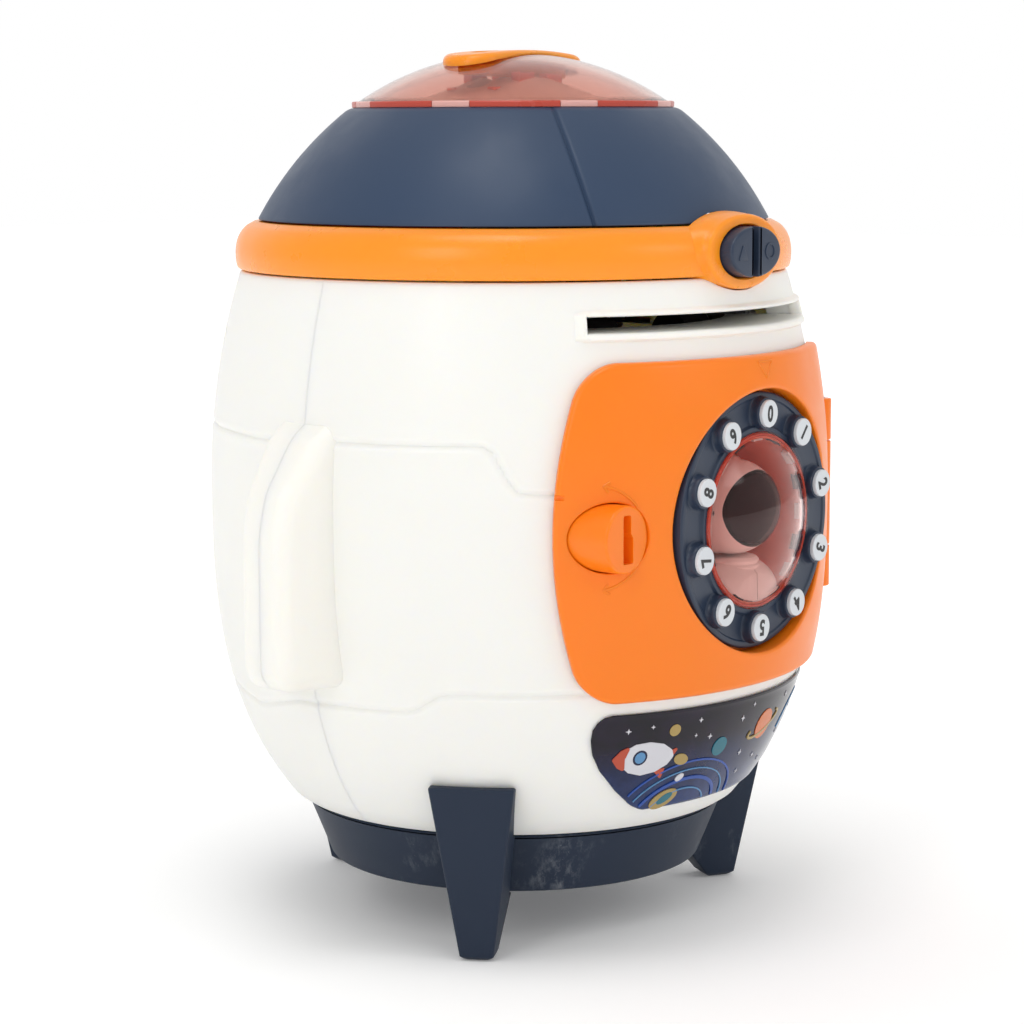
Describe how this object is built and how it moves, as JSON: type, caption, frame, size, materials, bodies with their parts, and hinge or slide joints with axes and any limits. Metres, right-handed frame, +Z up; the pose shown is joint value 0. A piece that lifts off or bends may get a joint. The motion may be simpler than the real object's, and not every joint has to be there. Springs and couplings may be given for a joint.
{
  "type": "toy savings bank",
  "caption": "Capsule-shaped toy cash-machine savings bank on three legs, with banknote slot, coin slot, hinged door, number dial, key latch and push buttons.",
  "frame": {"origin": "on the ground under the middle of the bounding box; the capsule's own axis stands 2.2 mm behind it", "axes": "+Z up, the door faces -Y, +X is the hinge side"},
  "size_m": [0.1976, 0.1698, 0.2337],
  "materials": {
    "cream_plastic": "satin",
    "orange_plastic": "satin",
    "navy_plastic": "satin",
    "clear_red": "clear",
    "white_plastic": "satin",
    "gloss_black": "polished",
    "speaker_black": "matt",
    "label_film": "gloss",
    "grey_plastic": "satin",
    "circuit_green": "satin",
    "steel": "brushed",
    "cell_can": "satin",
    "rubber": "matt"
  },
  "bodies": {
    "housing": {"front_shell": "cream_plastic", "rear_shell": "cream_plastic", "shell_screw_1": "steel", "shell_screw_2": "steel", "shell_screw_3": "steel", "shell_screw_4": "steel", "base_ring": "navy_plastic", "leg_left": "navy_plastic", "leg_right": "navy_plastic", "leg_rear": "navy_plastic", "battery_box": "grey_plastic", "battery_cover": "navy_plastic", "cover_screw": "steel", "battery_1": "cell_can", "battery_2": "cell_can", "battery_3": "cell_can", "collar_ring": "orange_plastic", "button_board": "circuit_green", "dome_shell": "navy_plastic", "clear_dome": "clear_red", "coin_saddle": "orange_plastic", "coin_deck": "white_plastic", "label_plate": "label_film", "hinge_pin": "steel", "hinge_block": "orange_plastic", "note_guide": "grey_plastic", "feed_frame": "grey_plastic", "feed_motor": "cell_can", "money_bin": "cream_plastic", "circuit_board": "circuit_green", "speaker": "speaker_black"},
    "door": {"door_panel": "orange_plastic", "window_dome": "clear_red", "window_cup": "clear_red", "astronaut_helmet": "white_plastic", "astronaut_visor": "gloss_black", "astronaut_torso": "white_plastic", "ear_pod_left": "grey_plastic", "ear_pod_right": "grey_plastic"},
    "dial": {"dial_ring": "navy_plastic", "number_disc_0": "white_plastic", "number_disc_1": "white_plastic", "number_disc_2": "white_plastic", "number_disc_3": "white_plastic", "number_disc_4": "white_plastic", "number_disc_5": "white_plastic", "number_disc_6": "white_plastic", "number_disc_7": "white_plastic", "number_disc_8": "white_plastic", "number_disc_9": "white_plastic"},
    "latch": {"latch_barrel": "orange_plastic", "latch_cam": "steel"},
    "button_left": {"left_button": "navy_plastic"},
    "button_right": {"right_button": "navy_plastic"},
    "feed": {"feed_shaft": "steel", "feed_roller_left": "rubber", "feed_roller_right": "rubber", "feed_gear": "white_plastic"},
    "idler": {"idler_roller": "grey_plastic"},
    "pinion": {"motor_pinion": "steel"}
  },
  "joints": [
    {"name": "door_hinge", "type": "hinge", "parent": "housing", "child": "door", "pos_m": [0.06342, -0.05633, 0.1119], "axis": [0, 0, 1], "range_deg": [0, 105]},
    {"name": "dial_spin", "type": "hinge", "parent": "door", "child": "dial", "pos_m": [0, -0.0763, 0.1128], "axis": [0, -1, 0], "continuous": true},
    {"name": "latch_turn", "type": "hinge", "parent": "door", "child": "latch", "pos_m": [-0.049, -0.0618, 0.1128], "axis": [0, -1, 0], "range_deg": [0, 90]},
    {"name": "button_left_push", "type": "slide", "parent": "housing", "child": "button_left", "axis": [0, 1, 0], "range_m": [0, 0.0015], "stiffness_N_per_m": 400, "springref_m": -0.0015},
    {"name": "button_right_push", "type": "slide", "parent": "housing", "child": "button_right", "axis": [0, 1, 0], "range_m": [0, 0.0015], "stiffness_N_per_m": 400, "springref_m": -0.0015},
    {"name": "feed_spin", "type": "hinge", "parent": "housing", "child": "feed", "pos_m": [0, -0.0398, 0.17065], "axis": [1, 0, 0], "continuous": true},
    {"name": "idler_spin", "type": "hinge", "parent": "housing", "child": "idler", "pos_m": [0, -0.0398, 0.15835], "axis": [1, 0, 0], "continuous": true},
    {"name": "pinion_spin", "type": "hinge", "parent": "housing", "child": "pinion", "pos_m": [0.045, -0.02858, 0.17713], "axis": [1, 0, 0], "continuous": true}
  ],
  "couplings": [
    {"joint": "idler_spin", "follows": "feed_spin", "ratio": -1},
    {"joint": "pinion_spin", "follows": "feed_spin", "ratio": -3.1111}
  ]
}
